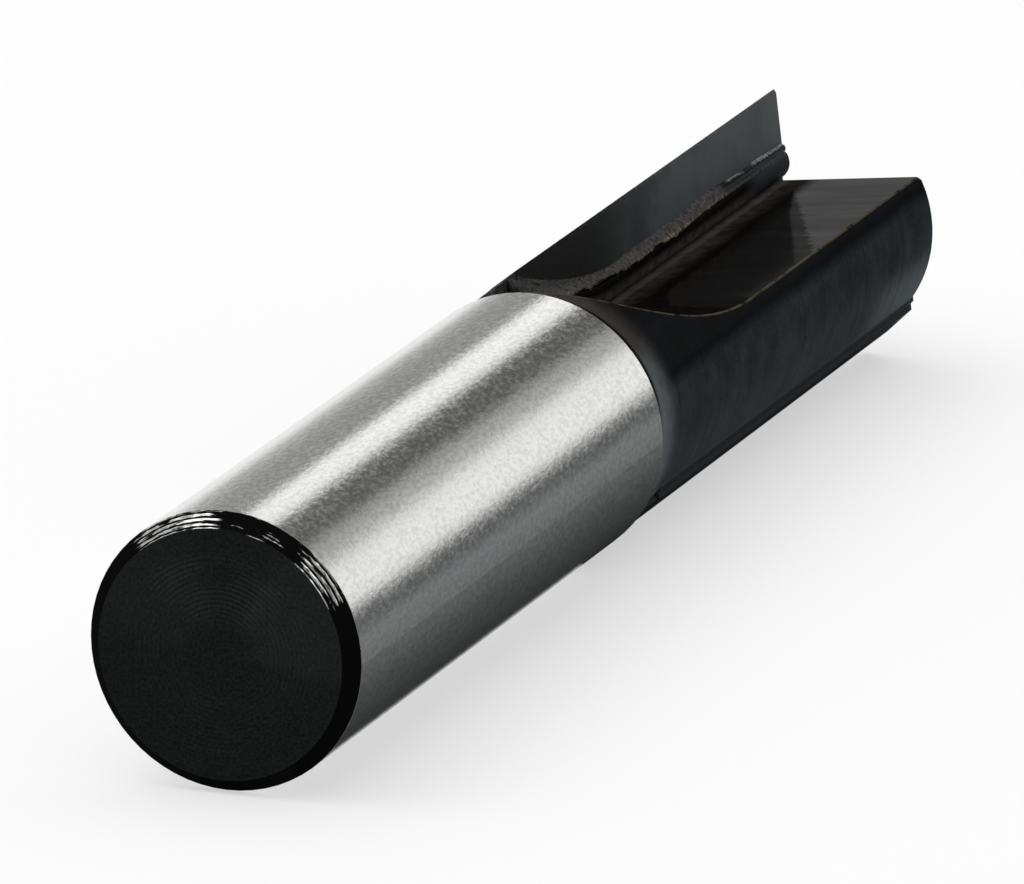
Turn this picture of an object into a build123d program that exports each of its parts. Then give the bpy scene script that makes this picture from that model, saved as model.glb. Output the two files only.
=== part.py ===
"""Two-flute straight router bit with brazed carbide tips, lying on its shank.

The bit's axis is the Y axis. The origin is the centre of the shank's end face, +Y runs from the
shank to the cutting end and +Z is up. Sizes are in millimetres.

A section across the head is drawn in two directions that turn with the cutting tips:
"ahead" is the way a tip's cutting face looks, and "out" runs up that face towards the cutting edge.
"""
from build123d import *
from math import atan2, cos, degrees, radians, sin, sqrt, tan
import os

# Shank, ground to size, with a turned chamfer at its end
shank_diameter = 12.7
shank_length = 38.1
end_chamfer_width = 0.65
end_chamfer_length = 0.73
shoulder_break = 0.15
end_chamfer_grooves = 4
end_chamfer_groove_depth = 0.03

# Head, turned below the shank's size, with a small step and a long blend at the neck
overall_length = 76.2
head_diameter = 11.7
neck_root_diameter = 12.0
neck_length = 4.0
nose_round = 0.4
nose_bevel_length = 0.65
nose_bevel_depth = 0.45

# Flutes, milled by a disc cutter that lifts out of the head short of the shank
tip_count = 2
first_tip_turn = 7.0
web_thickness = 4.2
flute_full_depth_from_shoulder = 14.8
flute_cutter_diameter = 50.0
gullet_undercut = 0.10
lip_bulge = 0.32
lip_bevel = 0.25

# Carbide tips
cutting_diameter = 13.1
cutting_face_behind_axis = 1.52
tip_thickness = 2.7
tip_overhang = 0.3
primary_relief_angle = 18.6
primary_relief_width = 1.5
secondary_relief_angle = 24.0
end_relief_angle = 8.0
corner_break = 0.25

# Grinding of the cutting faces, which stops short of the shank in the wheel's own curve
face_grind_depth = 0.06
face_wheel_diameter = 90.0
face_wheel_rise_from_shoulder = 18.9

# Seats milled in the head, and the braze that holds the tips in them
seat_floor_from_axis = 3.5
seat_start_from_shoulder = 3.68
braze_thickness = 0.12
braze_bead_radius = 0.22
braze_stands_proud = 0.1

# Worked out from the sizes above
shank_radius = shank_diameter / 2
head_radius = head_diameter / 2
cutting_radius = cutting_diameter / 2
head_end = overall_length - tip_overhang
flute_floor = web_thickness / 2
ground_face = -cutting_face_behind_axis
blank_face = ground_face + face_grind_depth
tip_back = ground_face - tip_thickness
seat_back = tip_back - braze_thickness
seat_start = shank_length + seat_start_from_shoulder
tip_start = seat_start + braze_thickness
tip_foot = seat_floor_from_axis + braze_thickness
edge_height = sqrt(cutting_radius**2 - cutting_face_behind_axis**2)
clear_outside = shank_diameter
cut_past_end = 2.0


def ahead(turn):
    """Direction in which the cutting face of the tip at this turn looks."""
    return Vector(cos(radians(turn)), 0, sin(radians(turn)))


def section(turn, along):
    """Plane across the axis: x is ahead, y is out, seen from the shank's end."""
    return Plane(origin=(0, along, 0), x_dir=ahead(turn), z_dir=(0, -1, 0))


def face_plane(turn, offset):
    """Plane of a cutting face: x runs along the bit, y is out, and the normal is ahead."""
    return Plane(origin=ahead(turn) * offset, x_dir=(0, 1, 0), z_dir=ahead(turn))


def along_axis(turn, start, stop, profile, mode):
    """Extrude a profile drawn on section(turn, start) as far as stop."""
    extrude(profile, amount=start - stop, mode=mode)


tip_turns = [first_tip_turn + 360 / tip_count * index for index in range(tip_count)]

# Body: shank and head are one turned piece of steel, with milled flutes and seats
shoulder_radius = shank_radius - shoulder_break
neck_root_radius = neck_root_diameter / 2
chamfer_in = Vector(shank_radius - end_chamfer_width, 0)
chamfer_run = Vector(end_chamfer_width, end_chamfer_length)
chamfer_into_steel = Vector(-end_chamfer_length, end_chamfer_width).normalized()
chamfer_profile = []
for groove in range(end_chamfer_grooves):
    groove_middle = chamfer_in + chamfer_run * ((groove + 0.5) / end_chamfer_grooves)
    chamfer_profile.append(chamfer_in + chamfer_run * (groove / end_chamfer_grooves))
    chamfer_profile.append(groove_middle + chamfer_into_steel * end_chamfer_groove_depth)
lip_top = (blank_face, seat_floor_from_axis)
lip_edge = (blank_face + lip_bevel, seat_floor_from_axis - lip_bevel)
lip_front = (blank_face + lip_bulge, (lip_edge[1] + flute_floor) / 2)
lip_foot = (blank_face - gullet_undercut, flute_floor)

with BuildPart() as body:
    with BuildSketch(Plane.XY):
        with BuildLine():
            Polyline(
                (0, head_end),
                (0, 0),
                *chamfer_profile,
                (shank_radius, end_chamfer_length),
                (shank_radius, shank_length - shoulder_break),
                (shoulder_radius, shank_length),
                (neck_root_radius, shank_length),
            )
            TangentArc(
                (head_radius, shank_length + neck_length),
                (neck_root_radius, shank_length),
                tangent=(0, -1),
            )
            Line(
                (head_radius, shank_length + neck_length),
                (head_radius, head_end - nose_round),
            )
            TangentArc(
                (head_radius, head_end - nose_round),
                (head_radius - nose_round, head_end),
                tangent=(0, 1),
            )
            Line((head_radius - nose_round, head_end), (0, head_end))
        make_face()
    revolve(axis=Axis.Y)

    for turn in tip_turns:
        # Flute: the disc cutter's profile, first along its straight pass, then turned about the
        # cutter's own axis where it stands at the end of that pass
        full_depth = shank_length + flute_full_depth_from_shoulder
        pass_plane = section(turn, full_depth)
        with BuildSketch(pass_plane) as cutter_profile:
            with BuildLine():
                ThreePointArc(lip_foot, lip_front, lip_edge)
                Polyline(
                    lip_edge,
                    lip_top,
                    (blank_face, clear_outside),
                    (clear_outside, clear_outside),
                    (clear_outside, flute_floor),
                    lip_foot,
                )
            make_face()
        along_axis(turn, full_depth, head_end + cut_past_end, cutter_profile.sketch, Mode.SUBTRACT)
        cutter_centre = pass_plane.from_local_coords((0, flute_floor + flute_cutter_diameter / 2, 0))
        revolve(cutter_profile.sketch, axis=Axis(cutter_centre, ahead(turn)), mode=Mode.SUBTRACT)

        # Bevel where the flute floor meets the nose
        with BuildSketch(face_plane(turn, lip_foot[0])) as bevel_profile:
            with BuildLine():
                Polyline(
                    (head_end - nose_bevel_length, flute_floor),
                    (head_end, flute_floor - nose_bevel_depth),
                    (head_end + cut_past_end, flute_floor - nose_bevel_depth),
                    (head_end + cut_past_end, flute_floor),
                    close=True,
                )
            make_face()
        extrude(bevel_profile.sketch, amount=clear_outside, mode=Mode.SUBTRACT)

        # Seat: floor below the tip, wall behind it
        with BuildSketch(section(turn, seat_start)) as seat_profile:
            with Locations((seat_back, seat_floor_from_axis)):
                Rectangle(
                    blank_face - seat_back,
                    clear_outside,
                    align=(Align.MIN, Align.MIN),
                )
        along_axis(turn, seat_start, head_end + cut_past_end, seat_profile.sketch, Mode.SUBTRACT)
body.part.label = "body"

# Carbide tips: plates ground with two reliefs behind the cutting edge
edge_direction = degrees(atan2(edge_height, ground_face))
primary_direction = radians(edge_direction + 90 + primary_relief_angle)
secondary_direction = radians(edge_direction + 90 + secondary_relief_angle)
blank_edge = (blank_face, edge_height + face_grind_depth * tan(primary_direction))
relief_change = (
    ground_face + primary_relief_width * cos(primary_direction),
    edge_height + primary_relief_width * sin(primary_direction),
)
heel = (
    tip_back,
    relief_change[1] + (tip_back - relief_change[0]) * tan(secondary_direction),
)

tips = []
for index, turn in enumerate(tip_turns, start=1):
    with BuildPart() as tip:
        with BuildSketch(section(turn, tip_start)) as tip_profile:
            with BuildLine():
                Polyline(
                    (blank_face, tip_foot),
                    blank_edge,
                    relief_change,
                    heel,
                    (tip_back, tip_foot),
                    close=True,
                )
            make_face()
        along_axis(turn, tip_start, overall_length, tip_profile.sketch, Mode.ADD)

        # Cutting face, ground by a wheel that rises towards the shank
        wheel_rise = shank_length + face_wheel_rise_from_shoulder
        wheel_radius = face_wheel_diameter / 2
        with BuildSketch(face_plane(turn, ground_face)) as ground_area:
            with Locations((wheel_rise, seat_floor_from_axis + wheel_radius)):
                Circle(wheel_radius)
            with Locations((wheel_rise, seat_floor_from_axis)):
                Rectangle(
                    overall_length - wheel_rise + cut_past_end,
                    clear_outside,
                    align=(Align.MIN, Align.MIN),
                )
        extrude(ground_area.sketch, amount=clear_outside, mode=Mode.SUBTRACT)

        # Corner where the cutting edge meets the end, slightly broken
        with BuildSketch(face_plane(turn, ground_face)) as corner:
            with BuildLine():
                Polyline(
                    (overall_length - corner_break - cut_past_end, edge_height + cut_past_end),
                    (overall_length + cut_past_end, edge_height - corner_break - cut_past_end),
                    (overall_length + cut_past_end, edge_height + cut_past_end),
                    close=True,
                )
            make_face()
        extrude(corner.sketch, amount=clear_outside, both=True, mode=Mode.SUBTRACT)

        # End ground back behind the end cutting edge, so that it can plunge
        relief = radians(end_relief_angle)
        end_face = Plane(
            origin=ahead(turn) * ground_face + Vector(0, overall_length, 0),
            z_dir=Vector(0, cos(relief), 0) - ahead(turn) * sin(relief),
        )
        split(bisect_by=end_face, keep=Keep.BOTTOM)
    tip.part.label = f"carbide_tip_{index}"
    tips.append(tip.part)

# Braze: one layer under, behind and at the end of each tip, with a bead along the front joint
brazes = []
for index, turn in enumerate(tip_turns, start=1):
    with BuildPart() as braze:
        with BuildSketch(section(turn, seat_start)) as seat_lining:
            with Locations((seat_back, seat_floor_from_axis)):
                Rectangle(blank_face - seat_back, braze_thickness, align=(Align.MIN, Align.MIN))
                Rectangle(braze_thickness, clear_outside, align=(Align.MIN, Align.MIN))
        along_axis(turn, seat_start, head_end, seat_lining.sketch, Mode.ADD)
        with BuildSketch(section(turn, seat_start)) as seat_end:
            with Locations((seat_back, seat_floor_from_axis)):
                Rectangle(blank_face - seat_back, clear_outside, align=(Align.MIN, Align.MIN))
        along_axis(turn, seat_start, tip_start, seat_end.sketch, Mode.ADD)
        with BuildSketch(section(turn, seat_start)) as filled_round:
            Circle(head_radius + braze_stands_proud)
        along_axis(turn, seat_start, head_end, filled_round.sketch, Mode.INTERSECT)
        with BuildSketch(section(turn, seat_start)) as bead:
            with Locations(lip_top):
                Circle(braze_bead_radius)
        along_axis(turn, seat_start, head_end, bead.sketch, Mode.ADD)
        add(tips[index - 1], mode=Mode.SUBTRACT)
        add(body.part, mode=Mode.SUBTRACT)
    braze.part.label = f"braze_{index}"
    brazes.append(braze.part)

os.makedirs("parts", exist_ok=True)
for piece in [body.part, *tips, *brazes]:
    export_step(piece, f"parts/{piece.label}.step")
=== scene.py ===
"""A straight two-flute router bit with brazed carbide tips, lying on its shank on a pale table.

Metres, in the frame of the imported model: the origin is the middle of the shank's end face,
+Y runs along the bit to its cutting end and +Z is up.
"""

import math

import bmesh
import bpy
from mathutils import Matrix, Vector, noise


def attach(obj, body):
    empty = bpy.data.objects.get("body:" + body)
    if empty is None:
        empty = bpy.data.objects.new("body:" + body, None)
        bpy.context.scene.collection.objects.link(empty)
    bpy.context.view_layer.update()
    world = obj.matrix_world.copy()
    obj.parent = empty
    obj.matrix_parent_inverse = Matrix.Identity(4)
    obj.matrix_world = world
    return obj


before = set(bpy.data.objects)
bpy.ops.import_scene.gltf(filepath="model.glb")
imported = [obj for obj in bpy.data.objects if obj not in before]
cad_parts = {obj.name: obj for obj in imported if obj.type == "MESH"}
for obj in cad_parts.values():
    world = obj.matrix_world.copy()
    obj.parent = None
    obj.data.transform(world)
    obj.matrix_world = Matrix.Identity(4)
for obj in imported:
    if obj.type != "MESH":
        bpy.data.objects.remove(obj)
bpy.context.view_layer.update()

# ---------------------------------------------------------------------------------------------
# Body. One bar of tool steel: turned, milled, hardened and blacked all over, and only then
# ground bright on the shank, between the end chamfer and the shoulder.
# ---------------------------------------------------------------------------------------------

SHANK_START = 0.73        # mm from the end face to where the ground shank begins
SHANK_END = 38.1
SHANK_RADIUS = 6.35
FLUTE_TURN = math.radians(7)
FLUTE_FULL_DEPTH = 52.9   # mm from the end face to where the flute reaches its full depth
FLUTE_CUTTER_RADIUS = 25.0
LIP_EDGE = 3.25           # mm out from the middle of the bit to the edge of the lip
MILLED_WITHIN = 5.78      # mm from the axis, within which the head is milled and not turned
EDGE_RADIUS = 5.77        # mm from the axis to the worn edge of the flute's floor
END_FACE = 0.015          # mm along the bit within which a place is on the shank's end face
FLUTE_START = 38.3        # mm from the end face, where the milled finish begins and ends
FLUTE_END = 75.85
FLOOR_LIMIT = -1.22       # mm out from the lip's edge to the flat of the flute's floor
WALL_FOOT = -1.07         # mm out from the lip's edge to the foot of the wall under the tip
WALL_AHEAD = -1.0         # mm ahead of the middle, where the wall under the tip stands
GLOSS_SLANT = 0.447       # mm ahead for each mm along, in the border between dull and glossy floor
GLOSS_BORDER = 32.75      # where that border lies, in mm ahead plus the slanted mm along


class Wire:
    """One output socket of a finish. Arithmetic on it adds Math nodes to the same finish."""

    tree = None

    def __init__(self, socket):
        self.socket = socket

    @classmethod
    def node(cls, kind, settings=None, inlets=None, outlet=0):
        """A new node: its settings first, then the value or the wire for each of its inlets."""
        made = cls.tree.nodes.new(kind)
        for name, value in (settings or {}).items():
            if name == "stops":
                ramp = made.color_ramp.elements
                while len(ramp) < len(value):
                    ramp.new(0.5)
                for stop, (place, colour) in zip(ramp, value):
                    stop.position = place
                    stop.color = (*colour, 1.0)
            else:
                setattr(made, name, value)
        for name, value in (inlets or {}).items():
            if isinstance(value, Wire):
                cls.tree.links.new(value.socket, made.inputs[name])
            else:
                made.inputs[name].default_value = value
        return Wire(made.outputs[outlet])

    @classmethod
    def math(cls, operation, *terms):
        """A Math node on one to three wires or values."""
        return cls.node("ShaderNodeMath", {"operation": operation}, dict(enumerate(terms)))

    def __add__(self, other):
        return Wire.math("ADD", self, other)

    def __sub__(self, other):
        return Wire.math("SUBTRACT", self, other)

    def __mul__(self, other):
        return Wire.math("MULTIPLY", self, other)

    def __truediv__(self, other):
        return Wire.math("DIVIDE", self, other)

    def __radd__(self, other):
        return Wire.math("ADD", other, self)

    def __rsub__(self, other):
        return Wire.math("SUBTRACT", other, self)

    def __rmul__(self, other):
        return Wire.math("MULTIPLY", other, self)

    def above(self, edge, soft):
        """0 below the edge and 1 above it, with a soft change between."""
        settings = {"interpolation_type": "SMOOTHSTEP"}
        inlets = {"Value": self, "From Min": edge - soft, "From Max": edge + soft}
        return Wire.node("ShaderNodeMapRange", settings, inlets)

    def within(self, low, high, soft):
        """1 between two edges and 0 outside them."""
        return self.above(low, soft) * (1 - self.above(high, soft))

    def grain(self, scale, detail=2.0, roughness=0.5):
        """Noise from 0 to 1 at a place, scale turns to the millimetre."""
        inlets = {"Vector": self, "Scale": scale, "Detail": detail, "Roughness": roughness}
        return Wire.node("ShaderNodeTexNoise", {}, inlets)


def blend(share, first, second):
    """A colour between two colours."""
    settings = {"data_type": "RGBA", "clamp_factor": True}
    return Wire.node("ShaderNodeMix", settings, {0: share, 6: first, 7: second}, outlet=2)


def tint(red, green, blue):
    """A colour given by its screen values from 0 to 255."""
    screen = (red, green, blue)
    linear = [((v / 255 + 0.055) / 1.055) ** 2.4 if v > 10 else v / 3294 for v in screen]
    return (*linear, 1.0)


def new_finish(name):
    """An empty material, and its output node for the shader that comes last."""
    material = bpy.data.materials.new(name)
    material.use_nodes = True
    material.node_tree.nodes.clear()
    Wire.tree = material.node_tree
    return material, material.node_tree.nodes.new("ShaderNodeOutputMaterial")


def raised(height):
    """The normal of a surface that stands up by a height in millimetres."""
    inlets = {"Strength": 1.0, "Distance": 0.001, "Height": height}
    return Wire.node("ShaderNodeBump", {}, inlets)


def shine(output, inlets):
    """The surface shader of a finish."""
    surface = Wire.node("ShaderNodeBsdfPrincipled", {}, inlets)
    Wire.tree.links.new(surface.socket, output.inputs["Surface"])


def place():
    """The place on the bit in millimetres: a vector, then its x, y, z, radius and angle."""
    metres = Wire.node("ShaderNodeTexCoord", {}, {}, outlet=3)
    spot = Wire.node("ShaderNodeVectorMath", {"operation": "SCALE"}, {0: metres, "Scale": 1000.0})
    parts = Wire.node("ShaderNodeSeparateXYZ", {}, {0: spot}).socket.node.outputs
    x, y, z = (Wire(part) for part in parts)
    radius = Wire.math("SQRT", x * x + z * z)
    return spot, x, y, z, radius, Wire.math("ARCTAN2", z, x)


def vector(x, y, z):
    """One vector from three wires or values."""
    return Wire.node("ShaderNodeCombineXYZ", {}, {0: x, 1: y, 2: z})


def flute_place(x, y, z):
    """How far ahead of and out from the middle a place is, on the side of the nearer flute.

    The third wire is how far out from the lip's edge it is. The lip rises as the flute runs out.
    """
    across = x * math.cos(FLUTE_TURN) + z * math.sin(FLUTE_TURN)
    out = z * math.cos(FLUTE_TURN) - x * math.sin(FLUTE_TURN)
    ahead = across * Wire.math("SIGN", out)
    out = Wire.math("ABSOLUTE", out)
    run = Wire.math("MAXIMUM", FLUTE_FULL_DEPTH - y, 0.0)
    rise = FLUTE_CUTTER_RADIUS - Wire.math("SQRT", FLUTE_CUTTER_RADIUS**2 - run * run)
    return ahead, out, out - rise - LIP_EDGE


body_finish, output = new_finish("blacked_and_ground_steel")
spot, x, y, z, radius, angle = place()
ahead, out, over_lip = flute_place(x, y, z)
soft_cloud = spot.grain(0.35, 3.0)
small_cloud = spot.grain(1.3, 3.0, 0.6)
fine_speck = spot.grain(7.0, 2.0, 0.6)

# Ground shank: short scratches run round it, and a fine mottle lies over them
along_shank = y.above(SHANK_START, 0.015) * (1 - y.above(SHANK_END, 0.01))
shank = along_shank * radius.above(6.12, 0.03)
scratch = vector(x * 0.16, y, z * 0.16).grain(7.0, 3.0, 0.65)
scratch_fine = vector(x * 0.3, y, z * 0.3).grain(16.0, 2.0, 0.7)
mottle = vector(x, y * 0.55, z).grain(4.6, 4.0, 0.72)
steel_colour = blend(mottle.above(0.5, 0.14), tint(210, 212, 211), tint(244, 243, 239))
steel_rough = 0.14 + 0.05 * scratch + 0.07 * mottle.above(0.55, 0.12)

# End chamfer: the crests between its turned grooves are rubbed bright on two stretches
chamfer = (1 - y.above(SHANK_START, 0.015)) * y.above(END_FACE, 0.01)
depth_in = Wire.math("ABSOLUTE", (radius - 5.70) * 0.747 - y * 0.665)
stretches = (
    angle.within(1.55, 2.34, 0.14)
    + angle.within(0.44, 0.92, 0.10)
    + 0.6 * angle.within(0.95, 1.5, 0.1)
)
worn_through = vector(angle * 3.0, radius * 3.0, y * 3.0).grain(1.6, 3.0, 0.75)
on_crest = 1 - depth_in.above(0.019, 0.006)
rubbed = chamfer * on_crest * (stretches * 0.42 + worn_through).above(0.90, 0.07)

# Black oxide: blue-black where it was turned, brown-black where it was milled
along_head = y.within(FLUTE_START, FLUTE_END, 0.05)
flute = (1 - radius.above(MILLED_WITHIN, 0.03)) * along_head
beside_wall = over_lip.within(FLOOR_LIMIT, WALL_FOOT, 0.02) * ahead.above(WALL_AHEAD, 0.05)
on_floor = beside_wall * along_head
floor = flute * on_floor * ahead.above(0.3, 0.5)
to_the_nose = ahead + GLOSS_SLANT * y + 1.1 * (spot.grain(2.2, 4.0, 0.75) - 0.5)
floor_gloss = floor * (0.4 + 0.6 * to_the_nose.above(GLOSS_BORDER, 0.12))
wall = flute * over_lip.above(WALL_FOOT, 0.02) * (1 - ahead.above(WALL_AHEAD, 0.05))
flute_edge = on_floor * radius.above(EDGE_RADIUS, 0.015)

# Turned surface: dark in fine rings; paler low on the land, which is painted light, and darker
# along the flute's edge, which is painted shade
clouds = (
    0.5 * soft_cloud.above(0.5, 0.25)
    + 0.15 * small_cloud.above(0.5, 0.15)
    + 0.2 * fine_speck.above(0.5, 0.2)
)
# Painted light: the land is paler on its lower side and palest lowest down, where the table lights
# it
painted_low_light = (1 - angle.above(-0.25, 0.35)) * angle.above(-0.9, 0.2) * 0.5
# Painted reflection: a paler patch low on the land near the nose
painted_low_reflection = y.above(69, 3) * angle.within(-0.66, -0.2, 0.15) * 0.5
painted_lowest_light = (1 - angle.above(-0.62, 0.08)) * angle.above(-1.5, 0.3)
dark_rings = vector(x * 0.01, y, z * 0.01).grain(5.0, 3.0, 0.75).above(0.55, 0.1) * 0.3
# Painted shade: the land is darkened in a ragged band along the flute's edge
painted_edge_shade = (ahead * out + 3.6 * soft_cloud).above(8.3, 2.4) * 0.85
turned = blend(clouds, tint(29, 32, 34), tint(53, 58, 61))
turned = blend(painted_low_light, turned, tint(64, 70, 74))
turned = blend(painted_low_reflection, turned, tint(96, 102, 107))
turned = blend(painted_lowest_light, turned, tint(74, 80, 84))
turned = blend(dark_rings, turned, tint(20, 22, 24))
turned = blend(painted_edge_shade, turned, tint(10, 10, 10))

# Neck: a painted reflection, grey below and brown-black on its upper side, and painted shadow where
# it meets the shoulder
# Painted reflection: a lighter band on the neck next to the shoulder
painted_neck_reflection = blend((z / radius).above(0.54, 0.25), tint(94, 99, 101), tint(60, 57, 53))
painted_neck_share = (1 - y.above(40.5, 1.2)) * (0.75 + 0.8 * (small_cloud - 0.5))
# Painted shadow: a near-black line behind the shoulder's rim on its upper side
painted_shoulder_shadow = (1 - y.above(39.08, 0.12)) * angle.within(0.15, 1.5, 0.25) * 0.9
turned = blend(painted_neck_share, turned, painted_neck_reflection)
# Painted shadow: near-black all round where the neck meets the shoulder
turned = blend(y.above(38.32, 0.06), tint(5, 5, 5), turned)
turned = blend(painted_shoulder_shadow, turned, tint(5, 5, 5))

# Milled flute: a dark floor, with a paler wall and foot under the tip
milled = blend(fine_speck.above(0.5, 0.2), tint(7, 6, 6), tint(16, 14, 12))
wall_colour = blend(small_cloud.above(0.5, 0.15), tint(50, 48, 45), tint(80, 76, 70))
# Painted shadow: the wall is near-black just under the crust
painted_shadow_under_crust = (over_lip + 0.4 * (small_cloud - 0.5)).above(-0.5, 0.25)
wall_colour = blend(painted_shadow_under_crust, wall_colour, tint(10, 10, 9))
patchy = 0.3 + 0.7 * small_cloud
# Painted light: paler colour in the corner between the wall and the floor, where shade falls
painted_wall_corner_light = over_lip.within(-1.12, -0.8, 0.15) * patchy
wall_colour = blend(painted_wall_corner_light, wall_colour, tint(82, 79, 73))
foot_colour = blend(small_cloud.above(0.5, 0.15), tint(34, 32, 30), tint(52, 50, 46))
painted_foot_corner_light = over_lip.within(-1.3, -1.0, 0.1) * (1 - ahead.above(-0.95, 0.2)) * patchy
foot_colour = blend(painted_foot_corner_light, foot_colour, tint(82, 79, 73))
milled = blend((ahead + 0.8 * (soft_cloud - 0.5)).above(-0.3, 0.7), foot_colour, milled)
# Painted reflection: the wall turns blue-grey towards the nose
wall_colour = blend(y.above(71, 1.2), wall_colour, tint(46, 49, 51))
black = blend(flute, turned, milled)
at_tip_start = y.within(40.0, 43.6, 0.4) * over_lip.above(-1.0, 0.2) * (1 - ahead.above(-0.9, 0.1))
tip_start_colour = blend(fine_speck.above(0.5, 0.15), tint(46, 45, 44), tint(72, 70, 68))
black = blend(wall, black, wall_colour)
black = blend(at_tip_start, black, tip_start_colour)
black = blend(flute_edge * small_cloud.above(0.42, 0.12), black, tint(72, 66, 56))

# End face of the shank: turned rings on black, with a painted sheen that lies in a fan
face = 1 - y.above(END_FACE, 0.01)
even_rings = 0.25 * Wire.math("SINE", radius * 29.0) + 0.25
face_rings = even_rings + 0.5 * vector(radius, 0.0, 0.0).grain(3.0, 2.0, 0.7)
ring_zone = radius.within(1.7, 4.5, 0.6) * spot.grain(0.4, 2.0).above(0.45, 0.15)
# Painted sheen: the face and its rings are paler in sectors of the face
painted_fan_sheen = angle.within(-0.12, 1.05, 0.14) + 0.7 * angle.within(1.9, 3.0, 0.3)
ring_tone_and_sheen = ring_zone * face_rings.above(0.5, 0.08) * (0.12 + 0.3 * angle.within(0.6, 2.5, 0.5))
face_tone_and_sheen = (
    0.02
    + ring_tone_and_sheen
    + 0.24 * painted_fan_sheen * radius.above(1.6, 0.8)
    + 0.25 * small_cloud
    + 0.4 * fine_speck.above(0.5, 0.2)
)
black = blend(face, black, blend(face_tone_and_sheen, tint(14, 15, 15), tint(42, 45, 45)))
black = blend(chamfer, black, tint(10, 10, 10))
black_rough = 0.40 - 0.06 * flute + 0.08 * soft_cloud

# Heights in millimetres, for the fine relief of each surface
turned_rings = vector(x * 0.01, y, z * 0.01).grain(7.0, 3.0, 0.75)
mill_lines = vector(x * 0.15, y, z * 0.15).grain(5.0, 2.0, 0.6)
mill_waves = vector(x * 0.12, y, z * 0.12).grain(1.1, 3.0, 0.6)
mottle_share = 0.35 + 0.65 * angle.within(0.15, 2.9, 0.2)
height = (
    shank * (0.0014 * scratch + 0.0006 * scratch_fine + 0.0088 * mottle * mottle_share)
    + face * (0.03 * face_rings + 0.012 * fine_speck)
    + (1 - shank) * (1 - face) * (1 - flute) * (0.012 * turned_rings + 0.02 * small_cloud)
    + flute * (0.008 * mill_lines + 0.03 * mill_waves)
    + wall * 0.05 * small_cloud
)
metal = Wire.math("MAXIMUM", shank, rubbed)
shine(output, {
    "Base Color": blend(metal, black, steel_colour),
    "Metallic": metal,
    "Roughness": black_rough * (1 - metal) + steel_rough * metal,
    "Specular IOR Level": 0.0,
    "Coat Weight": 0.02 * (1 - shank) + floor_gloss * (0.25 + 0.75 * mill_waves),
    "Coat Roughness": 0.10,
    "Normal": raised(height),
})
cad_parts["body"].material_slots[0].material = body_finish

# ---------------------------------------------------------------------------------------------
# Carbide tips. Two sintered blanks, brazed in their seats and then ground on the cutting face
# and on the reliefs. Only the foot and the shank end of each face keep the sintered skin.
# ---------------------------------------------------------------------------------------------

carbide_finish, output = new_finish("ground_carbide")
spot, x, y, z = place()[:4]
ahead, out = flute_place(x, y, z)[:2]
depth = ahead * -1.0      # mm behind the middle of the bit, which grows into the tip
skin = depth.within(1.44, 1.49, 0.008)
sinter = spot.grain(9.0, 2.0, 0.7)
wheel_lines = vector(x, y * 0.08, z).grain(14.0, 2.0, 0.6)
ground_colour = blend(y.above(58, 9), tint(28, 28, 28), tint(68, 74, 76))
pale_cloud = spot.grain(0.32, 3.0, 0.6).above(0.5, 0.1) * 0.6 * y.above(56, 4)
ground_colour = blend(pale_cloud, ground_colour, tint(80, 84, 85))
ground_colour = blend(sinter.above(0.55, 0.12) * 0.25, ground_colour, tint(60, 62, 62))
skin_colour = blend(sinter.above(0.52, 0.1), tint(50, 50, 50), tint(90, 88, 85))
chips = spot.grain(5.0, 3.0, 0.7).above(0.60, 0.03)
chipped = out.above(6.2, 0.08) * chips * (1 - skin) * y.above(49, 3)
ground_colour = blend(chipped, ground_colour, tint(100, 96, 90))
ground_colour = blend(depth.above(1.9, 0.2), ground_colour, tint(40, 43, 45))
height = skin * 0.02 * sinter + (1 - skin) * 0.0015 * wheel_lines
shine(output, {
    "Base Color": blend(skin, ground_colour, skin_colour),
    "Metallic": 0.0,
    "Roughness": 0.36 + 0.25 * skin,
    "Specular IOR Level": 0.03,
    "Normal": raised(height),
})
for name in ("carbide_tip_1", "carbide_tip_2"):
    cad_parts[name].material_slots[0].material = carbide_finish

# ---------------------------------------------------------------------------------------------
# Braze. Silver alloy lines each seat under and behind the tip and holds the tip in it. It is
# darkened by the blacking, and rubbed to its own yellow in a few places along the lip.
# ---------------------------------------------------------------------------------------------

braze_finish, output = new_finish("braze_alloy")
spot, x, y, z = place()[:4]
ahead, _, over_lip = flute_place(x, y, z)
grit = spot.grain(4.5, 3.0, 0.65)
patch = spot.grain(0.8, 2.0)
rough_part = 1 - y.above(67.5, 0.6)
low_edge = 1 - over_lip.above(0.12, 0.07)
brass = low_edge * grit.above(0.52, 0.04) * patch.above(0.47, 0.07) * rough_part
upper_border = (over_lip + (y - 67) * 0.010 + 0.2 * (grit - 0.5)).above(0.49, 0.02)
# Painted glint: a pale line along the crust's upper border near the nose
painted_glint_line = upper_border * y.above(68.6, 0.5) * patch.above(0.42, 0.1)
crust_colour = blend(grit.above(0.48, 0.16), tint(46, 45, 44), tint(82, 80, 77))
crust_colour = blend(low_edge * grit.above(0.5, 0.1) * 0.8, crust_colour, tint(104, 100, 88))
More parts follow.
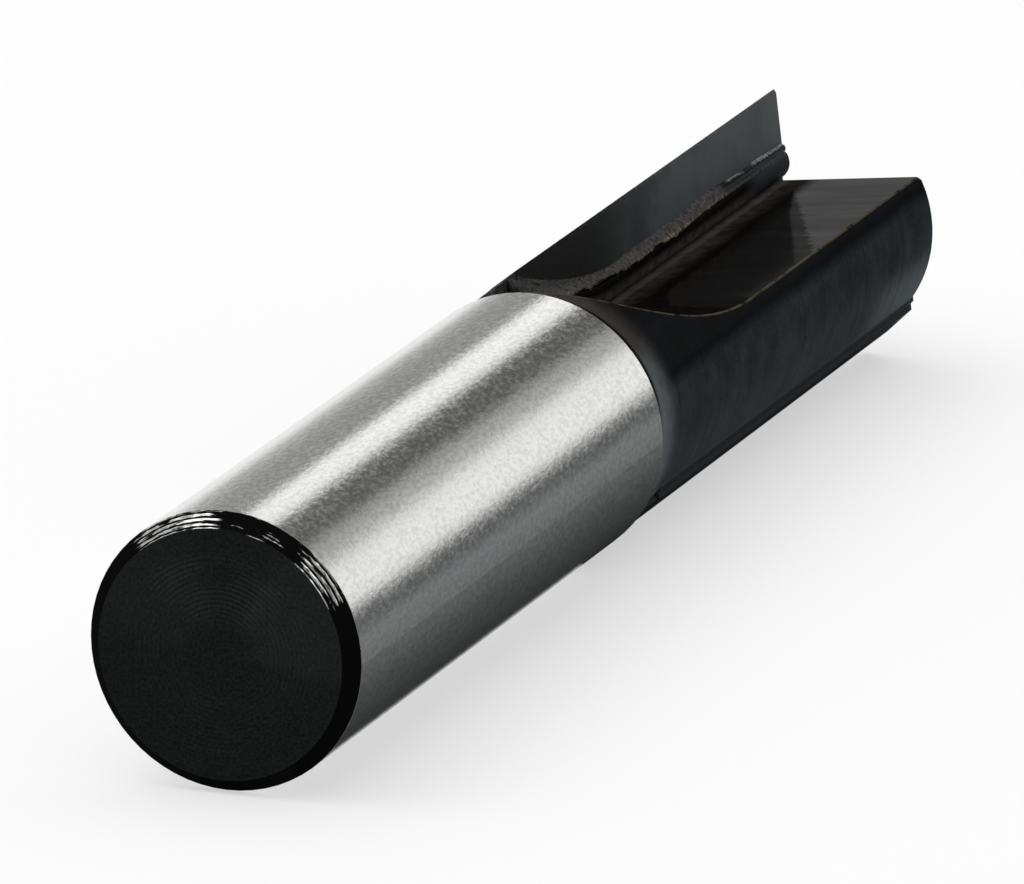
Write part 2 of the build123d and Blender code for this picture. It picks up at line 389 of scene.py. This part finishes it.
# Smooth end of the crust near the nose: blue-grey low down, which is a painted reflection, and
# near-black above
smooth_tone_and_reflection = blend(over_lip.above(0.3, 0.1), tint(38, 41, 43), tint(16, 17, 17))
crust_colour = blend(rough_part, smooth_tone_and_reflection, crust_colour)
crust_colour = blend(painted_glint_line * (0.2 + grit), crust_colour, tint(150, 160, 160))
crust_colour = blend((1 - y.above(46, 2)) * 0.6, crust_colour, tint(42, 41, 40))
heel_colour = blend(grit.above(0.5, 0.15), tint(36, 35, 35), tint(64, 62, 61))
crust_colour = blend(1 - y.above(42.4, 0.3), crust_colour, heel_colour)
crust_colour = blend(ahead.above(-2.0, 0.1), tint(40, 42, 43), crust_colour)
height = (rough_part * 0.03 + painted_glint_line * 0.03) * grit
brass = brass * ahead.above(-2.0, 0.1) * y.above(49.0, 1.0)
shine(output, {
    "Base Color": blend(brass, crust_colour, tint(164, 134, 86)),
    "Metallic": brass,
    "Roughness": 0.36 + 0.18 * rough_part,
    "Specular IOR Level": 0.04,
    "Normal": raised(height),
})
for name in ("braze_1", "braze_2"):
    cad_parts[name].material_slots[0].material = braze_finish

# ---------------------------------------------------------------------------------------------
# Braze crusts and heels. What ran out of each front joint set as a rough ragged crust along the
# lip of the flute, and more is heaped as a heel against the shank end of each tip. Both cling to
# the steel and the tip, one crust and one heel to each.
# ---------------------------------------------------------------------------------------------

SECTION_STEP = 0.09       # mm between the sections of a run of braze
CRUST_START = 40.6        # mm from the shank's end face
CRUST_END = 75.85
HEEL_START = 38.5
HEEL_END = 41.98


def between(value, places):
    """A value read off a smooth curve through (place, value) pairs."""
    for (start, low), (stop, high) in zip(places, places[1:]):
        if value <= stop:
            share = max(0.0, (value - start) / (stop - start))
            return low + (high - low) * share * share * (3 - 2 * share)
    return places[-1][1]


# The crust's lower and upper borders: mm along the bit, and mm out from the lip's edge
CRUST_LOWER = (
    (40.6, -1.10), (42.6, -1.05), (43.5, -1.00), (44.5, -0.81), (46.0, -0.31), (47.0, -0.03),
    (48.5, 0.16), (51.4, 0.30), (53.5, 0.18), (55.5, 0.08), (58, 0.15), (60, 0.02), (62, 0.05),
    (64, 0.13), (66, 0.12), (69, 0.06), (76, 0.0),
)
CRUST_UPPER = (
    (40.6, -0.12), (41.6, 0.10), (42.6, 0.30), (46, 0.42), (50, 0.52), (53, 0.44), (58, 0.50),
    (62, 0.50), (64, 0.60), (66.5, 0.62), (69.5, 0.50), (71, 0.43), (72.6, 0.52), (74.4, 0.46),
    (76, 0.40),
)
LUMP_TURNS = 5.5          # lumps to the millimetre on the crust's skin
FRONT_OF_CRUST = -1.4     # mm ahead of the middle; what lies ahead of it fills out by the neck


def crust_section(along, seed):
    """The crust's outline across the bit: pairs of millimetres ahead of and out from the middle."""
    rise = 0.0
    if along < FLUTE_FULL_DEPTH:
        run = FLUTE_FULL_DEPTH - along
        rise = FLUTE_CUTTER_RADIUS - math.sqrt(FLUTE_CUTTER_RADIUS**2 - run**2)
    lip = LIP_EDGE + rise
    edge = lip + between(along, CRUST_LOWER)
    top = lip + between(along, CRUST_UPPER)
    rough = between(along, ((41, 0.5), (46, 1.0), (64, 1.0), (68.5, 0.45), (76, 0.35)))
    thick = between(along, ((41, 0.5), (46, 1.0), (60, 1.0), (69, 0.3), (76, 0.4)))
    jag = rough * (
        0.10 * noise.noise((along * 0.9, seed, 0.0))
        + 0.10 * noise.noise((along * 2.6, seed, 4.0))
        + 0.06 * noise.noise((along * 8.0, seed, 8.0))
    )
    swell = rough * 0.05 * noise.noise((along * 3.5, seed, 12.0))
    filled = between(along, ((41.6, 0.36), (44.5, 0.34), (47.5, 0.0)))
    outline = [
        (-1.66, edge + 0.6 * (top - edge)),
        (-1.57, top),
        (-1.505, top + 0.02 + 0.5 * jag),
        (-1.44 + 0.03 * thick, top - 0.04 + 0.5 * jag),
        (-1.38 + 0.10 * thick + swell, edge + 0.70 * (top - edge)),
        (-1.34 + 0.17 * thick + swell, edge + 0.50 * (top - edge)),
        (-1.32 + 0.22 * thick + swell, edge + 0.28 * (top - edge)),
        (-1.29 + 0.24 * thick + swell, edge + 0.05 + 0.8 * jag),
        (-1.27 + 0.24 * thick, edge - 0.04 + jag),
        (-1.27 + 0.20 * thick, edge - 0.09 + jag),
        (-1.29 + 0.12 * thick, edge - 0.08 + jag),
        (-1.36, edge - 0.02 + 0.5 * jag),
        (-1.50, edge + 0.10),
        (-1.62, edge + 0.25),
    ]
    rougher = []
    for ahead, out in outline:
        at = (along * LUMP_TURNS, out * LUMP_TURNS + seed, ahead * LUMP_TURNS)
        lump = rough * 0.022 * noise.noise(at)
        rougher.append((ahead + lump + (filled if ahead > FRONT_OF_CRUST else 0.0), out + lump))
    return rougher


def heel_section(along, seed):
    """The heel's outline across the bit, which rises from inside the neck to the tip's height."""
    full = between(along, ((38.7, 0.0), (39.3, 0.93), (42.0, 1.0)))
    outline = []
    for ahead, out, deep in (
        (-1.53, 6.33, 5.45), (-2.10, 5.98, 5.30), (-2.79, 5.55, 5.00), (-3.50, 5.02, 4.50),
        (-4.10, 4.52, 4.05), (-3.90, 3.90, 3.90), (-1.56, 4.60, 4.60),
    ):
        out = deep + (out - deep) * full
        lump = 0.03 * noise.noise((along * 2.5, out * 2.5 + seed, ahead * 2.5))
        outline.append((ahead + 0.5 * lump, out + lump))
    return outline


def add_object(name, data):
    """An object on a mesh, a lamp or a camera, linked to the scene."""
    made = bpy.data.objects.new(name, data)
    bpy.context.scene.collection.objects.link(made)
    return made


def loft(name, turn, seed, section, start, stop, round_end):
    """A closed mesh through the sections of a run of braze on one tip, with a cap at each end."""
    count = round((stop - start) / SECTION_STEP)
    corners, faces = [], []
    cosine, sine = math.cos(turn), math.sin(turn)
    for index in range(count + 1):
        along = start + (stop - start) * index / count
        outline = section(along, seed)
        middle_ahead = sum(a for a, o in outline) / len(outline)
        middle_out = sum(o for a, o in outline) / len(outline)
        near_end = min(1.0, min(index, count - index) / 4)
        shrink = math.sqrt(max(0.05, 1 - (1 - near_end) ** 2)) if round_end else 1.0
        for ahead, out in outline:
            ahead = middle_ahead + (ahead - middle_ahead) * shrink
            out = middle_out + (out - middle_out) * shrink
            corners.append((
                (ahead * cosine - out * sine) / 1000,
                along / 1000,
                (ahead * sine + out * cosine) / 1000,
            ))
    around = len(outline)
    for index in range(count):
        for side in range(around):
            a = index * around + side
            b = index * around + (side + 1) % around
            faces.append((a, b, b + around, a + around))
    faces.append(tuple(reversed(range(around))))
    faces.append(tuple(count * around + side for side in range(around)))
    mesh = bpy.data.meshes.new(name)
    mesh.from_pydata(corners, [], faces)
    shape = bmesh.new()
    shape.from_mesh(mesh)
    bmesh.ops.recalc_face_normals(shape, faces=shape.faces)
    shape.to_mesh(mesh)
    shape.free()
    mesh.polygons.foreach_set("use_smooth", [round_end] * len(faces))
    mesh.materials.append(braze_finish)
    piece = add_object(name, mesh)
    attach(piece, "root")


for index, seed in enumerate((2.0, 31.0)):
    turn = FLUTE_TURN + index * math.pi
    loft(f"braze_crust_{index + 1}", turn, seed, crust_section, CRUST_START, CRUST_END, True)
    loft(f"braze_heel_{index + 1}", turn, seed, heel_section, HEEL_START, HEEL_END, False)

# ---------------------------------------------------------------------------------------------
# Table. A wide pale matt sheet that the shank lies on. It glows a little for the camera and in
# reflections, so that it shows nearly white. It is part of the stage and not of the object.
# ---------------------------------------------------------------------------------------------

TABLE_LEVEL = -SHANK_RADIUS / 1000    # metres
TABLE_REACH = 3000        # mm from the middle of the table to each side


def sheet_mesh(name, outline, level, finish):
    """One flat face at a level in metres, through corners given in millimetres."""
    mesh = bpy.data.meshes.new(name)
    corners = [(x_mm / 1000, y_mm / 1000, level) for x_mm, y_mm in outline]
    mesh.from_pydata(corners, [], [tuple(range(len(corners)))])
    mesh.materials.append(finish)
    return mesh


table_finish, output = new_finish("pale_table")
matt = Wire.node("ShaderNodeBsdfPrincipled", {}, {
    "Base Color": (0.93, 0.93, 0.93, 1.0), "Roughness": 0.9, "Specular IOR Level": 0.0,
})
glow = Wire.node("ShaderNodeEmission", {}, {"Color": (1.0, 1.0, 1.0, 1.0), "Strength": 0.98})
rays = Wire.node("ShaderNodeLightPath").socket.node.outputs
seen = 0.55 * Wire.math("MAXIMUM", Wire(rays["Is Camera Ray"]), Wire(rays["Is Glossy Ray"]))
surface = Wire.node("ShaderNodeMixShader", {}, {0: seen, 1: matt, 2: glow})
Wire.tree.links.new(surface.socket, output.inputs["Surface"])
table_outline = [
    (-TABLE_REACH, -TABLE_REACH), (TABLE_REACH, -TABLE_REACH),
    (TABLE_REACH, TABLE_REACH), (-TABLE_REACH, TABLE_REACH),
]
table = add_object("table", sheet_mesh("table", table_outline, TABLE_LEVEL, table_finish))

# ---------------------------------------------------------------------------------------------
# Lamps. A dim studio that is bright overhead and paler to the left and right, and four soft
# boxes: the key above on the left, and three behind the bit.
# ---------------------------------------------------------------------------------------------

LAMPS_FACE = (0.0, 0.03, 0.0)    # metres, on the axis near the middle of the bit

world = bpy.data.worlds.new("studio")
bpy.context.scene.world = world
world.use_nodes = True
Wire.tree = world.node_tree
sky = world.node_tree.nodes["Background"]
way = Wire.node("ShaderNodeTexCoord", {}, {}, outlet=0)
parts = Wire.node("ShaderNodeSeparateXYZ", {}, {0: way}).socket.node.outputs
to_right, to_top = Wire(parts[0]), Wire(parts[2])
to_left = to_right * -1.0
level = (
    0.10
    + 1.06 * to_top.above(0.61, 0.11)
    + 0.21 * to_left.above(0.25, 0.08)
    + 0.32 * to_left.above(0.46, 0.07)
    + 0.45 * to_right.above(0.62, 0.08)
)
Wire.tree.links.new(level.socket, sky.inputs["Strength"])
sky.inputs["Color"].default_value = (1.0, 1.0, 1.0, 1.0)


def lamp(name, centre, wide, high, radiance):
    """A soft box at a place in metres that faces the bit, as bright as a mirror would show it."""
    data = bpy.data.lights.new(name, "AREA")
    data.shape = "RECTANGLE"
    data.size, data.size_y = wide, high
    data.energy = radiance * math.pi * wide * high
    lamp_object = add_object(name, data)
    lamp_object.location = centre
    facing = Vector(LAMPS_FACE) - Vector(centre)
    lamp_object.rotation_euler = facing.to_track_quat("-Z", "Y").to_euler()


lamp("key", (-0.35, -0.10, 0.60), 0.40, 0.40, 1.0)
lamp("back_right", (0.209, 0.475, 0.098), 0.16, 0.145, 0.93)
lamp("back_right_top", (0.146, 0.475, 0.194), 0.13, 0.09, 0.40)
lamp("back_left", (-0.085, 0.477, 0.215), 0.095, 0.16, 1.0)

# ---------------------------------------------------------------------------------------------
# Dark card. A grey card just above the table, which neither the camera nor diffuse light sees.
# The dark bands of the shank mirror it: its greys are painted shade, standing in for the
# shaded table next to the bit. It is part of the stage and not of the object.
# ---------------------------------------------------------------------------------------------

CARD_LEVEL = -0.00630     # metres, a little above the table
CARD_OUTLINE = (
    (-40, -100), (700, -100), (700, 1560), (6.5, 110), (5.8, 80),
    (-6, 80), (-6, 41), (3.4, 37), (3.4, -6), (-40, -6),
)
# Painted shade of the table: dark next to the bit, paler farther out and dark again beyond
CARD_GREYS = (            # each a share of 100 mm to the right of the bit, and a grey
    (0.0, 0.085), (0.05, 0.095), (0.094, 0.115), (0.13, 0.155),
    (0.19, 0.19), (0.28, 0.235), (0.46, 0.10), (1.0, 0.085),
)

dark_finish, output = new_finish("dark_card")
x = place()[1]
stops = [(at, (grey * 0.97, grey, grey * 1.03)) for at, grey in CARD_GREYS]
card_colour = Wire.node("ShaderNodeValToRGB", {"stops": stops}, {0: x * 0.01})
shine(output, {"Base Color": card_colour, "Roughness": 0.9, "Specular IOR Level": 0.0})
dark_card = add_object("dark_card", sheet_mesh("dark_card", CARD_OUTLINE, CARD_LEVEL, dark_finish))
dark_card.visible_camera = False
dark_card.visible_diffuse = False
dark_card.visible_shadow = False

# ---------------------------------------------------------------------------------------------
# Camera. A long lens before the shank's end, to the right of it and above it. Its turn is given
# by the ways that its own right, its own up and its view point in.
# ---------------------------------------------------------------------------------------------

camera_data = bpy.data.cameras.new("camera")
camera_data.sensor_width = 36.0
camera_data.lens = 627.7
camera_data.clip_end = 20.0
camera = add_object("camera", camera_data)
right = Vector((0.93376494, 0.3578869, 0.0))
up = Vector((-0.09987203, 0.26057675, 0.96027357))
away = Vector((-0.34366933, 0.8966698, -0.27906032))
camera_place = Matrix.Translation((0.277425, -0.688365, 0.225280))
camera.matrix_world = camera_place @ Matrix((right, up, -away)).transposed().to_4x4()
bpy.context.scene.camera = camera
bpy.context.scene.view_settings.view_transform = "Standard"
